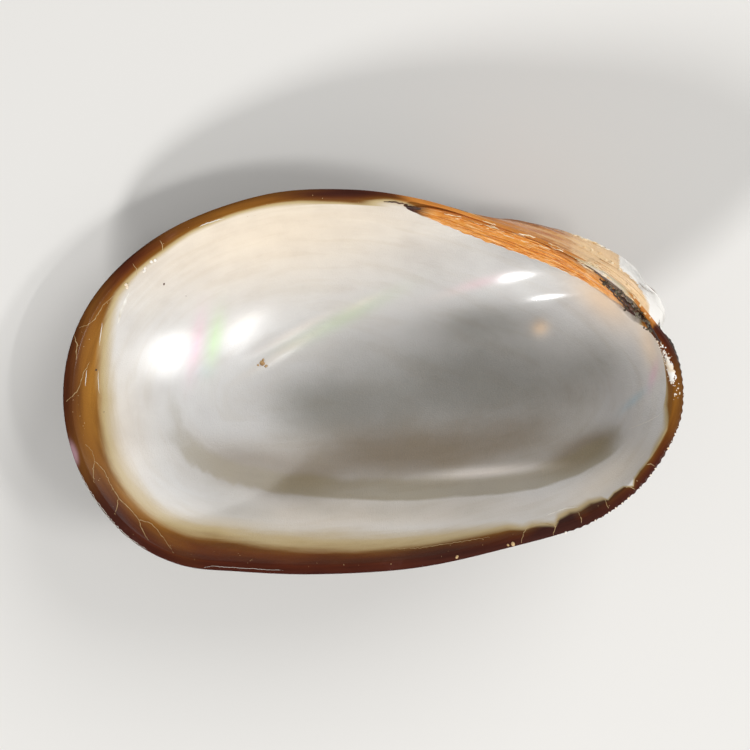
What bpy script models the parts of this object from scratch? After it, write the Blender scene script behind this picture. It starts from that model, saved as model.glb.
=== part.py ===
"""One valve of an arctic mussel, lying on its back with the hollow up, and the torn strip of its ligament.

The shell is built the way it grew. Its edge, the margin, is a closed curve in one plane. Every older edge is the
same curve, smaller, scaled towards the beak and rolled over the hinge line. A loft through these growth rings makes
the outside, and a second, flatter set of rings makes the inside. The lip joins the two.

Shape values are in millimetres in the margin's own frame: x to the front end, y to the hinge side, z out of the
hollow, with z = 0 at the plane of the margin. The valve is then turned and set down on its belly.
"""

import math

import bmesh
import bpy
import numpy as np
from mathutils import Matrix

MM = 0.001

# Size
SHELL_LENGTH = 48.0
DRAWN_LENGTH = 48.0

# Edge of the valve, from the beak round the front end, the lower side, the rear end and back along the hinge
MARGIN = [
    (21.9, 4.6),
    (23.4, 2.2),
    (24.0, -1.0),
    (23.3, -4.2),
    (20.7, -8.1),
    (16.6, -11.0),
    (10.3, -12.9),
    (3.4, -14.4),
    (-4.0, -14.9),
    (-10.3, -14.7),
    (-15.2, -14.1),
    (-19.4, -11.7),
    (-22.6, -7.3),
    (-24.0, -2.0),
    (-23.3, 3.4),
    (-20.5, 8.1),
    (-15.5, 12.0),
    (-8.6, 14.5),
    (-2.2, 14.95),
    (3.6, 14.2),
    (9.4, 12.4),
    (15.2, 10.1),
    (19.3, 7.4),
]
BEAK = (21.35, 7.1, -0.65)
HINGE_SLOPE = math.radians(26.5)

# Growth of the outside: how far the rings roll, how fast, and how deep they bulge
OUTER_TURN = math.radians(124)
OUTER_POWER = 0.58
OUTER_BULGE = 0.81
OUTER_SHOULDER = 12.0
SHOULDER_END = 65.0

# Growth of the inside, which closes in a point under the hinge
INNER_HEART = (20.5, 5.0, -1.4)
INNER_TURN = math.radians(129)
INNER_POWER = 0.72
INNER_BULGE = 0.65
INNER_SHOULDER = 11.0

# Rings of the outside and the inside, as shares of the margin's size, and the rests in growth that step the outside
OUTER_RINGS = [0.97, 0.89, 0.85, 0.75, 0.71, 0.62, 0.56, 0.5, 0.39, 0.33, 0.27, 0.21, 0.16, 0.11, 0.06]
GROWTH_RESTS = [0.93, 0.80, 0.66, 0.44]
REST_HALF_WIDTH = 0.004
REST_STEP = 0.13
REST_FADE = 0.05
REST_BEAK_FADE = 4.0
INNER_RINGS = [1.0, 0.95, 0.89, 0.82, 0.74, 0.66, 0.58, 0.5, 0.42, 0.34, 0.26, 0.18, 0.1]

# Lip: how far in and how high each of its rings is, first on a plain stretch, then where the hinge ledge is
LIP_INSETS = [0.12, 0.35, 0.55]
LIP_HEIGHTS = [0.10, 0.13, 0.11]
LIP_INNER_INSET = 0.80
LIP_INNER_HEIGHT = 0.02
LEDGE_INSETS = [0.10, 0.26, 0.36]
LEDGE_HEIGHTS = [0.10, 0.08, -0.80]
LEDGE_INNER_INSET = 1.48
LEDGE_INNER_HEIGHT = -0.90
LEDGE_LENGTH = 23.0
LEDGE_BEAK_END = 1.6
LEDGE_REAR_END = 5.0

# Teeth of the front edge, each a rib on the outside
TEETH_START = 2.1
TOOTH_COUNT = 32
TOOTH_PITCH = 0.62
TOOTH_HEIGHT = 0.08
TEETH_FADE = 2.5

# Columns of the mesh, along the lower and rear edge and along the hinge
LOWER_COLUMNS = 30
HINGE_COLUMNS = 14
HINGE_STRETCH = 26.0

# Ligament: a strip on the ledge, measured back from the beak along the margin
LIGAMENT_START = 1.4
LIGAMENT_END = 22.0
LIGAMENT_STATIONS = 24
LIGAMENT_SIDES = 10
LIGAMENT_WIDTH = 1.06
LIGAMENT_THICKNESS = 0.60
LIGAMENT_INSET = 0.90
LIGAMENT_CLEARANCE = 0.06
LIGAMENT_WIDEST = 0.62
LIGAMENT_BLUNTNESS = 0.6

# How softly the swing of a ring ends at the hinge line
SWING_SOFTNESS = 1.0

# How the valve lies: turned about the long axis and about the cross axis, and how much of the belly is worn flat
LEAN_ACROSS = math.radians(-12.0)
LEAN_ALONG = math.radians(-7.2)
BELLY_FLAT = 0.15
FLAT_SNAP = 0.01

# Finishes
NACRE = (0.62, 0.60, 0.55)
NACRE_ROUGHNESS = 0.3
HORN = (0.62, 0.22, 0.05)
HORN_ROUGHNESS = 0.45
CREASE = math.radians(40)


def smooth(t):
    """A soft step from 0 to 1."""
    t = np.clip(t, 0, 1)
    return t * t * (3 - 2 * t)


def hinge_axes():
    """Unit vectors in the margin plane: to the rear along the hinge, and from the hinge to the lower side."""
    along = np.array([-math.cos(HINGE_SLOPE), math.sin(HINGE_SLOPE)])
    across = np.array([-math.sin(HINGE_SLOPE), -math.cos(HINGE_SLOPE)])
    return along, across


def margin_curve(places):
    """Points and inward directions of the margin at distances along it from the beak, and its whole length."""
    knots = np.array(MARGIN)
    steps = 40
    t = np.arange(len(knots) * steps + 1) / steps
    i = t.astype(int)
    f = (t - i)[:, None]
    a, b, c, d = (knots[(i + k) % len(knots)] for k in (-1, 0, 1, 2))
    curve = 0.5 * (2 * b + (c - a) * f + (2 * a - 5 * b + 4 * c - d) * f**2 + (3 * b - a - 3 * c + d) * f**3)
    run = np.concatenate([[0], np.cumsum(np.linalg.norm(np.diff(curve, axis=0), axis=1))])
    length = run[-1]

    def at(where):
        return np.stack([np.interp(where % length, run, curve[:, k]) for k in (0, 1)], 1)

    nearby = 0.2
    way = at(places + nearby) - at(places - nearby)
    way /= np.linalg.norm(way, axis=1)[:, None]
    inward = np.stack([way[:, 1], -way[:, 0]], 1)
    return at(places), inward, length


def lever(margin, centre, back, shoulder):
    """How far each point of the margin swings as the ring rolls. The shoulder swells the hinge side."""
    reach = (margin - np.array(centre[:2])) @ hinge_axes()[1]
    reach = (reach + np.sqrt(reach**2 + SWING_SOFTNESS)) / 2
    share = np.clip(back / SHOULDER_END, 0, 1)
    return reach + shoulder * np.sin(math.pi * share) ** 2


def rolled(rings, margin, centre, swing, turn, power, bulge):
    """The margin scaled to each ring about centre and rolled over the hinge line, as an array of points."""
    along, across = hinge_axes()
    s = np.asarray(rings)[:, None]
    angle = turn * (1 - s**power)
    offset = margin - np.array(centre[:2])
    to_rear = s * (offset @ along)
    to_low = s * (offset @ across + swing * (np.cos(angle) - 1))
    z = centre[2] * (1 - s) - s * swing * bulge * np.sin(angle)
    x = centre[0] + to_rear * along[0] + to_low * across[0]
    y = centre[1] + to_rear * along[1] + to_low * across[1]
    return np.stack([x, y, z], 2)


def column_places(length):
    """Where the columns of the mesh start on the margin, and how far each stands out as a tooth."""
    teeth = TEETH_START + TOOTH_PITCH / 2 * np.arange(2 * TOOTH_COUNT + 1)
    hinge_start = length - HINGE_STRETCH
    lower = np.linspace(teeth[-1], hinge_start, LOWER_COLUMNS + 1)[1:]
    hinge = np.linspace(hinge_start, length + TEETH_START, HINGE_COLUMNS + 1)[1:-1]
    places = np.concatenate([teeth, lower, hinge]) % length
    into_teeth = np.minimum(teeth - teeth[0], teeth[-1] - teeth)
    stand_out = np.zeros(len(places))
    stand_out[1 : 2 * TOOTH_COUNT : 2] = (TOOTH_HEIGHT * smooth(into_teeth / TEETH_FADE))[1::2]
    return places, stand_out


def hinge_share(back):
    """1 where the ledge under the hinge has its full depth, and 0 off it."""
    return smooth(back / LEDGE_BEAK_END) * smooth((LEDGE_LENGTH - back) / LEDGE_REAR_END)


def growth_relief(rings):
    """How far the outside stands up at each ring: every rest in growth leaves a low step, facing the margin."""
    past = np.array(GROWTH_RESTS)[None, :] - np.asarray(rings)[:, None]
    return REST_STEP * np.where(past > 0, np.exp(-past / REST_FADE), 0).sum(axis=1)


def outward(points):
    """Unit normals of a grid of rings that run clockwise seen from above and shrink downwards."""
    sideways = np.roll(points, -1, axis=1) - np.roll(points, 1, axis=1)
    downwards = np.gradient(points, axis=0)
    normals = np.cross(sideways, downwards)
    return normals / np.linalg.norm(normals, axis=2)[:, :, None]


def valve_rings():
    """All rings of the valve, from the beak over the outside, the lip and the inside to under the hinge.

    The first and last points close the two smallest rings.
    """
    length = margin_curve(np.zeros(1))[2]
    places, stand_out = column_places(length)
    margin, inward, _ = margin_curve(places)
    back = length - places
    toothed = margin - inward * stand_out[:, None]

    steps = [rest + side * REST_HALF_WIDTH for rest in GROWTH_RESTS for side in (1, -1)]
    rings = np.array(sorted(OUTER_RINGS + steps + [1.0], reverse=True))
    swing = lever(margin, BEAK, back, OUTER_SHOULDER)
    outside = rolled(rings, toothed, BEAK, swing, OUTER_TURN, OUTER_POWER, OUTER_BULGE)
    from_beak = smooth(np.minimum(places, back) / REST_BEAK_FADE)
    outside += outward(outside) * growth_relief(rings)[:, None, None] * from_beak[None, :, None]

    share = hinge_share(back)
    lip = []
    for i, fade in enumerate((1.0, 0.7, 0.3)):
        inset = LIP_INSETS[i] + (LEDGE_INSETS[i] - LIP_INSETS[i]) * share
        height = LIP_HEIGHTS[i] + (LEDGE_HEIGHTS[i] - LIP_HEIGHTS[i]) * share
        flat = margin + inward * (inset - fade * stand_out)[:, None]
        lip.append(np.column_stack([flat, height]))

    inset = LIP_INNER_INSET + (LEDGE_INNER_INSET - LIP_INNER_INSET) * share
    height = LIP_INNER_HEIGHT + (LEDGE_INNER_HEIGHT - LIP_INNER_HEIGHT) * share
    inner_edge = margin + inward * inset[:, None]
    swing = lever(inner_edge, INNER_HEART, back, INNER_SHOULDER)
    inside = rolled(INNER_RINGS, inner_edge, INNER_HEART, swing, INNER_TURN, INNER_POWER, INNER_BULGE)
    inside[:, :, 2] += np.array(INNER_RINGS)[:, None] * height

    rows = np.concatenate([outside[::-1], lip, inside])
    return rows[0].mean(axis=0), rows, rows[-1].mean(axis=0)


def ligament_rings():
    """Rings of the ligament from its thin end at the beak to its thin rear end."""
    length = margin_curve(np.zeros(1))[2]
    share = np.linspace(0, 1, LIGAMENT_STATIONS + 2)
    back = LIGAMENT_START + (LIGAMENT_END - LIGAMENT_START) * share
    margin, inward, _ = margin_curve(length - back)
    rise = np.minimum(share / LIGAMENT_WIDEST, (1 - share) / (1 - LIGAMENT_WIDEST))
    fullness = np.sin(math.pi / 2 * np.clip(rise, 0, 1)) ** LIGAMENT_BLUNTNESS
    ledge = LIP_HEIGHTS[-1] + (LEDGE_HEIGHTS[-1] - LIP_HEIGHTS[-1]) * hinge_share(back)
    middle = ledge + LIGAMENT_CLEARANCE + LIGAMENT_THICKNESS / 2 * fullness
    round_turn = 2 * math.pi * np.arange(LIGAMENT_SIDES) / LIGAMENT_SIDES
    rings = []
    for i in range(1, LIGAMENT_STATIONS + 1):
        out = LIGAMENT_WIDTH / 2 * fullness[i] * np.cos(round_turn)
        up = LIGAMENT_THICKNESS / 2 * fullness[i] * np.sin(round_turn)
        flat = margin[i] + inward[i] * (LIGAMENT_INSET + out)[:, None]
        rings.append(np.column_stack([flat, middle[i] + up]))
    ends = [np.append(margin[k] + inward[k] * LIGAMENT_INSET, middle[k]) for k in (0, -1)]
    return ends[0], np.array(rings), ends[1]


def set_down(points, lowest, middle):
    """Points in metres, turned to the way the valve lies, over the origin and with the belly flat at z = 0."""
    turned = points @ rest_turn().T
    shift = np.array([middle[0], middle[1], lowest + BELLY_FLAT])
    return (turned - shift) * MM * SHELL_LENGTH / DRAWN_LENGTH


def wear_flat(piece):
    """Cuts away the little of the belly that is below z = 0, and closes the cut with a flat face."""
    shape = bmesh.new()
    shape.from_mesh(piece.data)
    bmesh.ops.triangulate(shape, faces=shape.faces)
    cut = bmesh.ops.bisect_plane(
        shape,
        geom=shape.verts[:] + shape.edges[:] + shape.faces[:],
        dist=FLAT_SNAP * MM,
        plane_co=(0, 0, 0),
        plane_no=(0, 0, 1),
        use_snap_center=True,
        clear_inner=True,
    )
    rim = [element for element in cut["geom_cut"] if isinstance(element, bmesh.types.BMEdge)]
    bmesh.ops.holes_fill(shape, edges=rim)
    bmesh.ops.recalc_face_normals(shape, faces=shape.faces)
    shape.to_mesh(piece.data)
    shape.free()
    piece.data.shade_smooth()
    piece.data.set_sharp_from_angle(angle=CREASE)


def rest_turn():
    """Rotation from the margin's frame to the way the valve lies."""
    return np.array(Matrix.Rotation(LEAN_ACROSS, 3, "X") @ Matrix.Rotation(LEAN_ALONG, 3, "Y"))


def principled(name, colour, roughness):
    """A plain material."""
    material = bpy.data.materials.new(name)
    material.use_nodes = True
    shader = material.node_tree.nodes["Principled BSDF"]
    shader.inputs["Base Color"].default_value = (*colour, 1.0)
    shader.inputs["Roughness"].default_value = roughness
    shader.inputs["Metallic"].default_value = 0.0
    return material


def loft(name, first, rings, last, material, collection):
    """A closed mesh through rings with equal numbers of points, drawn to a point at each end."""
    shape = bmesh.new()
    rows = [[shape.verts.new(point) for point in ring] for ring in rings]
    for row, following in zip(rows, rows[1:]):
        for i, corner in enumerate(row):
            j = (i + 1) % len(row)
            shape.faces.new((corner, row[j], following[j], following[i]))
    for point, row in ((first, rows[0]), (last, rows[-1])):
        end = shape.verts.new(point)
        for i, corner in enumerate(row):
            shape.faces.new((end, corner, row[(i + 1) % len(row)]))
    bmesh.ops.recalc_face_normals(shape, faces=shape.faces)
    mesh = bpy.data.meshes.new(name)
    shape.to_mesh(mesh)
    shape.free()
    mesh.shade_smooth()
    mesh.set_sharp_from_angle(angle=CREASE)
    mesh.materials.append(material)
    piece = bpy.data.objects.new(name, mesh)
    collection.objects.link(piece)
    return piece


def main():
    for old in list(bpy.data.objects):
        bpy.data.objects.remove(old)
    collection = bpy.data.collections.new("mussel_shell")
    bpy.context.scene.collection.children.link(collection)

    tip, rows, heart = valve_rings()
    turned = rows.reshape(-1, 3) @ rest_turn().T
    lowest = turned[:, 2].min()
    middle = (turned.min(axis=0) + turned.max(axis=0)) / 2
    for name, (first, rings, last), material in (
        ("valve", (tip, rows, heart), principled("nacre", NACRE, NACRE_ROUGHNESS)),
        ("ligament", ligament_rings(), principled("horn", HORN, HORN_ROUGHNESS)),
    ):
        first, rings, last = (set_down(points, lowest, middle) for points in (first, rings, last))
        piece = loft(name, first, rings, last, material, collection)
        if name == "valve":
            wear_flat(piece)


main()
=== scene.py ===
"""The inside of one left valve of an arctic mussel, lying on its back, and the torn strip of its ligament.

Shapes are drawn in millimetres in the margin's own frame, as in the part's source: x to the front end, y to
the hinge side and z out of the hollow, with z = 0 at the plane of the margin. Each mesh is then turned to the
way the valve lies and becomes metres. Marks are placed by the pixel of the photograph in which they show.
"""

import math
import random

import bmesh
import bpy
import numpy as np
from mathutils import Matrix, Vector
from mathutils.bvhtree import BVHTree
from mathutils.kdtree import KDTree


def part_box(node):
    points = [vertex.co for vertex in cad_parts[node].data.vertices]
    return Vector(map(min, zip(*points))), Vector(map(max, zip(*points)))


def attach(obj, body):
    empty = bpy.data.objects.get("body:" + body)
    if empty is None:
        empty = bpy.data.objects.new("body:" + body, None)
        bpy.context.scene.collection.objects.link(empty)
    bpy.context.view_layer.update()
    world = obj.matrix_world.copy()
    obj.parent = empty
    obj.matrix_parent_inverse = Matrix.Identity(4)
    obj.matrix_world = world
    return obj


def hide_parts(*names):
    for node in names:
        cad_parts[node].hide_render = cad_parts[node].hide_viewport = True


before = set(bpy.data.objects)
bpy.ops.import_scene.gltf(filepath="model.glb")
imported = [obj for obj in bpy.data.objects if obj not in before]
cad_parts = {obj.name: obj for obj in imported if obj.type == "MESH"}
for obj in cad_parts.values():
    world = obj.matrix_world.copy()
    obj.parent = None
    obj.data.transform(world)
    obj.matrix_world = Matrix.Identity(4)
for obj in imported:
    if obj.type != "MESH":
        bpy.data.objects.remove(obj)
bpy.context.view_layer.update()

# The valve
# Half of a shell, grown in layers from its edge: pearly aragonite inside, and a brown horny skin outside that
# folds in over the lip. Each older edge is the margin, scaled towards the beak and rolled over the hinge.
drawn_margin = [
    (21.9, 4.6), (23.4, 2.2), (24.0, -1.0), (23.3, -4.2), (20.7, -8.1), (16.6, -11.0), (10.3, -12.9),
    (3.4, -14.4), (-4.0, -14.9), (-10.3, -14.7), (-15.2, -14.1), (-19.4, -11.7), (-22.6, -7.3),
    (-24.0, -2.0), (-23.3, 3.4), (-20.5, 8.1), (-15.5, 12.0), (-8.6, 14.5), (-2.2, 14.95), (3.6, 14.2),
    (9.4, 12.4), (15.2, 10.1), (19.3, 7.4),
]
hinge_slope = math.radians(26.5)
to_the_rear = np.array([-math.cos(hinge_slope), math.sin(hinge_slope)])
to_the_low_side = np.array([-math.sin(hinge_slope), -math.cos(hinge_slope)])


def curve_through(points, f):
    """Points at the share f between the middle two of four rows of points, on a curve through all four."""
    a, b, c, d = points
    return 0.5 * (2 * b + (c - a) * f + (2 * a - 5 * b + 4 * c - d) * f**2 + (3 * b - a - 3 * c + d) * f**3)


def smooth(t):
    """A soft step from 0 to 1."""
    t = np.clip(t, 0, 1)
    return t * t * (3 - 2 * t)


def run_along(line):
    """How far each point of a line is from its first, along it."""
    return np.concatenate([[0], np.cumsum(np.linalg.norm(np.diff(line, axis=0), axis=1))])


knots = np.array(drawn_margin)
steps_a_knot = 200
knot = np.arange(len(knots) * steps_a_knot + 1) / steps_a_knot
neighbours = [knots[(knot.astype(int) + k) % len(knots)] for k in (-1, 0, 1, 2)]
margin_points = curve_through(neighbours, (knot % 1)[:, None])
margin_run = run_along(margin_points)
margin_length = margin_run[-1]


def margin_at(places):
    """Points of the margin, at distances along it from the beak, clockwise seen from above."""
    return np.stack([np.interp(places % margin_length, margin_run, margin_points[:, k]) for k in (0, 1)], -1)


def inward_at(places):
    """Unit directions from the margin into the valve."""
    way = margin_at(places + 0.2) - margin_at(places - 0.2)
    way /= np.linalg.norm(way, axis=-1)[..., None]
    return np.stack([way[..., 1], -way[..., 0]], -1)


def swing_of(edge, centre, back, shoulder):
    """How far each point of an edge swings as its ring rolls. The shoulder swells the hinge side."""
    reach = (edge - np.array(centre[:2])) @ to_the_low_side
    softened = (reach + np.sqrt(reach**2 + 1)) / 2
    return softened + shoulder * np.sin(math.pi * np.clip(back / 65, 0, 1)) ** 2


def rolled(rings, edge, centre, swing, turn, power, bulge):
    """The edge scaled to each ring about centre and rolled over the hinge, as rows of points."""
    s = rings[:, None]
    angle = turn * (1 - s**power)
    offset = edge - np.array(centre[:2])
    rear = s * (offset @ to_the_rear)
    low = s * (offset @ to_the_low_side + swing * (np.cos(angle) - 1))
    x = centre[0] + rear * to_the_rear[0] + low * to_the_low_side[0]
    y = centre[1] + rear * to_the_rear[1] + low * to_the_low_side[1]
    return np.stack([x, y, centre[2] * (1 - s) - s * swing * bulge * np.sin(angle)], 2)


def outward(rows):
    """Unit normals, away from the hollow, of rows that run clockwise seen from above and shrink downwards."""
    sideways = np.roll(rows, -1, axis=1) - np.roll(rows, 1, axis=1)
    normals = np.cross(sideways, np.gradient(rows, axis=0))
    return normals / np.linalg.norm(normals, axis=2)[:, :, None]


ledge_rise, ledge_end, ledge_run_out = 1.6, 23.0, 5.0


def ledge_share(back):
    """1 where the ledge under the hinge has its full depth, and 0 off it."""
    return smooth(back / ledge_rise) * smooth((ledge_end - back) / ledge_run_out)


teeth_start, tooth_pitch, tooth_count, tooth_height = 2.1, 0.62, 32, 0.08
teeth_end = teeth_start + tooth_pitch * tooth_count
toothed = np.linspace(teeth_start, teeth_end, 6 * tooth_count, endpoint=False)
plain = np.linspace(teeth_end, margin_length + teeth_start, 228, endpoint=False)
places = np.concatenate([toothed, plain]) % margin_length
back = margin_length - places
into_teeth = np.minimum(places - teeth_start, teeth_end - places)
tooth_wave = 0.5 - 0.5 * np.cos(2 * math.pi * (places - teeth_start) / tooth_pitch)
stand_out = tooth_height * smooth(into_teeth / 2.5) * tooth_wave
margin, inward = margin_at(places), inward_at(places)

beak = (21.35, 7.1, -0.65)
outer_rings = np.linspace(1, 0.06, 92)
outside = rolled(
    outer_rings,
    margin - inward * stand_out[:, None],
    beak,
    swing_of(margin, beak, back, shoulder=12.0),
    turn=math.radians(124),
    power=0.58,
    bulge=0.81,
)
growth_rests = [
    (0.93, 0.13), (0.80, 0.13), (0.66, 0.13), (0.44, 0.13), (0.975, 0.03), (0.885, 0.04), (0.86, 0.03),
    (0.745, 0.04), (0.71, 0.03), (0.61, 0.04), (0.57, 0.03), (0.52, 0.04), (0.38, 0.05), (0.31, 0.04),
]
steps_up = np.zeros(len(outer_rings))
for rest, height in growth_rests:
    past_rest = rest - outer_rings
    steps_up += height * np.where(past_rest > 0, np.exp(-past_rest / 0.05), 0)
from_beak = smooth(np.minimum(places, back) / 4)
outside += outward(outside) * steps_up[:, None, None] * from_beak[None, :, None]

ledge = ledge_share(back)
lip = []
for fade, plain_inset, plain_height, ledge_inset, ledge_height in (
    (1.0, 0.12, 0.10, 0.10, 0.10),
    (0.7, 0.35, 0.13, 0.26, 0.08),
    (0.3, 0.55, 0.11, 0.36, -0.80),
):
    inset = plain_inset + (ledge_inset - plain_inset) * ledge
    height = plain_height + (ledge_height - plain_height) * ledge
    lip.append(np.column_stack([margin + inward * (inset - fade * stand_out)[:, None], height]))

heart = (20.5, 5.0, -1.4)
inner_rings = np.linspace(1, 0.1, 100)
wall, ledge_width, lip_rise, ledge_drop = 0.80, 0.68, 0.02, 0.92
inner_edge = margin + inward * (wall + ledge_width * ledge)[:, None]
inside = rolled(
    inner_rings,
    inner_edge,
    heart,
    swing_of(inner_edge, heart, back, shoulder=11.0),
    turn=math.radians(129),
    power=0.72,
    bulge=0.65,
)
inside[:, :, 2] += inner_rings[:, None] * (lip_rise - ledge_drop * ledge)

around_lip = [outside[2], outside[0], *lip, inside[0], inside[3]]
lip_rows = []
for i, count in enumerate((3, 3, 3, 5)):
    lip_rows += [curve_through(around_lip[i : i + 4], step / count) for step in range(1, count + 1)]
lip_rows = np.array(lip_rows[:-1])

# The photograph looks straight down on the plane of the margin. 619 of its pixels span the margin's 48 mm.
pixel = 48.0 / 619
lens_mm, sensor_mm, photo_pixels = 300.0, 36.0, 750
middle_x, middle_y = 373.5, 382
eye = np.array([0.116, 0.543, photo_pixels * pixel * lens_mm / sensor_mm])


def seen_at(points):
    """The pixels of the photograph in which points show."""
    nearness = eye[2] / (eye[2] - points[..., 2:])
    flat = eye[:2] + (points[..., :2] - eye[:2]) * nearness
    return np.stack([middle_x + flat[..., 0] / pixel, middle_y - flat[..., 1] / pixel], -1)


def in_margin_plane(x, y):
    """The point of the margin's plane at a pixel of the photograph."""
    return (x - middle_x) * pixel, (middle_y - y) * pixel, 0.0


def oval(seen, x, y, wide, high, turned=0.0):
    """1 in the middle of an oval of the photograph, and fading to 0 at about its edge."""
    c, s = math.cos(math.radians(turned)), math.sin(math.radians(turned))
    across, up = seen[..., 0] - x, seen[..., 1] - y
    far = ((across * c + up * s) / wide) ** 2 + ((up * c - across * s) / high) ** 2
    return np.exp(-2.5 * far)


def from_line(seen, line):
    """Distances in pixels from a line drawn through some pixels."""
    nearest = np.full(seen.shape[:-1], 1e9)
    for start, end in zip(line, line[1:]):
        start, end = np.array(start, float), np.array(end, float)
        along = np.clip((seen - start) @ (end - start) / ((end - start) @ (end - start)), 0, 1)
        off = seen - start - along[..., None] * (end - start)
        nearest = np.minimum(nearest, np.linalg.norm(off, axis=-1))
    return nearest


outside_seen = seen_at(outside)
beak_swelling, beak_notch = 0.22, 0.6
swollen = beak_swelling * oval(outside_seen, 634, 270, 50, 32, 40) * from_beak
outside += outward(outside) * swollen[:, :, None]
notched = beak_notch * oval(outside_seen, 669, 329, 20, 16)
outside[:, :, 0] -= notched * smooth((1 - outer_rings) / 0.04)[:, None]

# Low relief of the inside: a blister, the scar along which the mantle was fixed, and two folds.
pallial_line = [
    (164, 400), (172, 432), (198, 460), (235, 475), (285, 486), (341, 491), (405, 492), (453, 489),
    (500, 486), (535, 481), (575, 467), (605, 450), (622, 436),
]
inside_seen = seen_at(inside)
blister_height, scar_height, fold_heights = 0.2, 0.03, (0.05, 0.04)
relief = blister_height * oval(inside_seen, 540, 328, 13, 13)
relief += scar_height * smooth(1 - from_line(inside_seen, pallial_line) / 12)
folds = oval(inside_seen, 296, 331, 60, 7, -28), oval(inside_seen, 288, 349, 60, 7, -31)
relief += fold_heights[0] * folds[0] + fold_heights[1] * folds[1]
inside -= outward(inside) * relief[:, :, None]

rows = np.concatenate([outside[::-1], lip_rows, inside])
shell_points = np.concatenate([rows.reshape(-1, 3), [rows[0].mean(axis=0), rows[-1].mean(axis=0)]])
row_count, column_count = rows.shape[:2]
corner = np.arange(row_count * column_count).reshape(row_count, column_count)
following = np.roll(corner, -1, axis=1)
quads = np.stack([corner[:-1], following[:-1], following[1:], corner[1:]], 2).reshape(-1, 4)
tip, deep_end = row_count * column_count, row_count * column_count + 1
shell_faces = quads.tolist()
shell_faces += [(tip, b, a) for a, b in zip(corner[0].tolist(), following[0].tolist())]
shell_faces += [(deep_end, a, b) for a, b in zip(corner[-1].tolist(), following[-1].tolist())]

# How the valve lies: turned on its belly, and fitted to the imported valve's box.
lean = np.array(Matrix.Rotation(math.radians(-12.0), 3, "X") @ Matrix.Rotation(math.radians(-7.2), 3, "Y"))
packed_low, packed_high = (np.array(end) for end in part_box("valve"))
millimetre = 0.001
turned = shell_points @ lean.T * millimetre
shift = (packed_low + packed_high) / 2 - (turned.min(axis=0) + turned.max(axis=0)) / 2
shift[2] = packed_high[2] - turned[:, 2].max()


def set_down(points):
    """Points of the margin's frame, in metres where the valve lies."""
    placed = np.asarray(points) @ lean.T * millimetre + shift
    placed[..., 2] = np.maximum(placed[..., 2], packed_low[2])
    return placed


def make_piece(name, points, faces, slot, *materials):
    """A smooth mesh of points in the margin's frame, riding on the shell's one body."""
    mesh = bpy.data.meshes.new(name)
    mesh.from_pydata(set_down(points).tolist(), [], faces)
    shape = bmesh.new()
    shape.from_mesh(mesh)
    bmesh.ops.recalc_face_normals(shape, faces=shape.faces)
    shape.to_mesh(mesh)
    shape.free()
    mesh.shade_smooth()
    for material in materials:
        mesh.materials.append(material)
    piece = bpy.data.objects.new(name, mesh)
    bpy.context.scene.collection.objects.link(piece)
    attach(piece, "root")
    return piece


def paint(red, green, blue):
    """A colour given in 255ths of the screen's range, as the shaders need it."""
    linear = [((c / 255 + 0.055) / 1.055) ** 2.4 if c > 10 else c / 255 / 12.92 for c in (red, green, blue)]
    return (*linear, 1.0)


def blank_material(name):
    """A new material and its node tree and shader."""
    material = bpy.data.materials.new(name)
    material.use_nodes = True
    tree = material.node_tree
    return material, tree, tree.nodes["Principled BSDF"]


def set_input(tree, socket, value):
    """Links a socket to another one, or sets its number or colour."""
    if isinstance(value, bpy.types.NodeSocket):
        tree.links.new(value, socket)
    else:
        socket.default_value = value


def fill(tree, node, values):
    """Links or sets some inputs of a node, by their names."""
    for name, value in values.items():
        set_input(tree, node.inputs[name], value)


def math_of(tree, operation, *values):
    """The result of one sum."""
    node = tree.nodes.new("ShaderNodeMath")
    node.operation = operation
    for socket, value in zip(node.inputs, values):
        set_input(tree, socket, value)
    return node.outputs[0]


def mark(tree, name):
    """A number that the mesh carries at its points."""
    node = tree.nodes.new("ShaderNodeAttribute")
    node.attribute_name = name
    return node.outputs["Fac"]


def mark_vector(tree, name, stretch=(1, 1, 1)):
    """A vector that the mesh carries at its points, scaled along its axes."""
    node = tree.nodes.new("ShaderNodeAttribute")
    node.attribute_name = name
    scaled = tree.nodes.new("ShaderNodeVectorMath")
    scaled.operation = "MULTIPLY"
    tree.links.new(node.outputs["Vector"], scaled.inputs[0])
    scaled.inputs[1].default_value = stretch
    return scaled.outputs[0]


def grain(tree, vector, scale, detail=3.0, roughness=0.5, distortion=0.0):
    """Soft noise, about 0.5 on average."""
    node = tree.nodes.new("ShaderNodeTexNoise")
    fill(tree, node, {"Vector": vector, "Scale": scale, "Detail": detail})
    fill(tree, node, {"Roughness": roughness, "Distortion": distortion})
    return node.outputs["Fac"]


def step_between(tree, value, low, high, out_low=0.0, out_high=1.0):
    """A soft step of a number, from out_low at low to out_high at high."""
    node = tree.nodes.new("ShaderNodeMapRange")
    node.interpolation_type = "SMOOTHSTEP"
    for socket, given in zip(node.inputs, (value, low, high, out_low, out_high)):
        set_input(tree, socket, given)
    return node.outputs["Result"]


def over(tree, share, under, top, way="MIX"):
    """One colour over another, by share."""
    node = tree.nodes.new("ShaderNodeMix")
    node.data_type = "RGBA"
    node.blend_type = way
    for socket, value in ((node.inputs[0], share), (node.inputs[6], under), (node.inputs[7], top)):
        set_input(tree, socket, value)
    return node.outputs[2]


def shades(tree, value, stops):
    """A row of colours at some positions, picked by a number from 0 to 1."""
    node = tree.nodes.new("ShaderNodeValToRGB")
    set_input(tree, node.inputs["Fac"], value)
    row = node.color_ramp.elements
    while len(row) < len(stops):
        row.new(0.5)
    for element, (position, tint) in zip(row, stops):
        element.position = position
        element.color = paint(*tint)
    return node.outputs["Color"]


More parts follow.
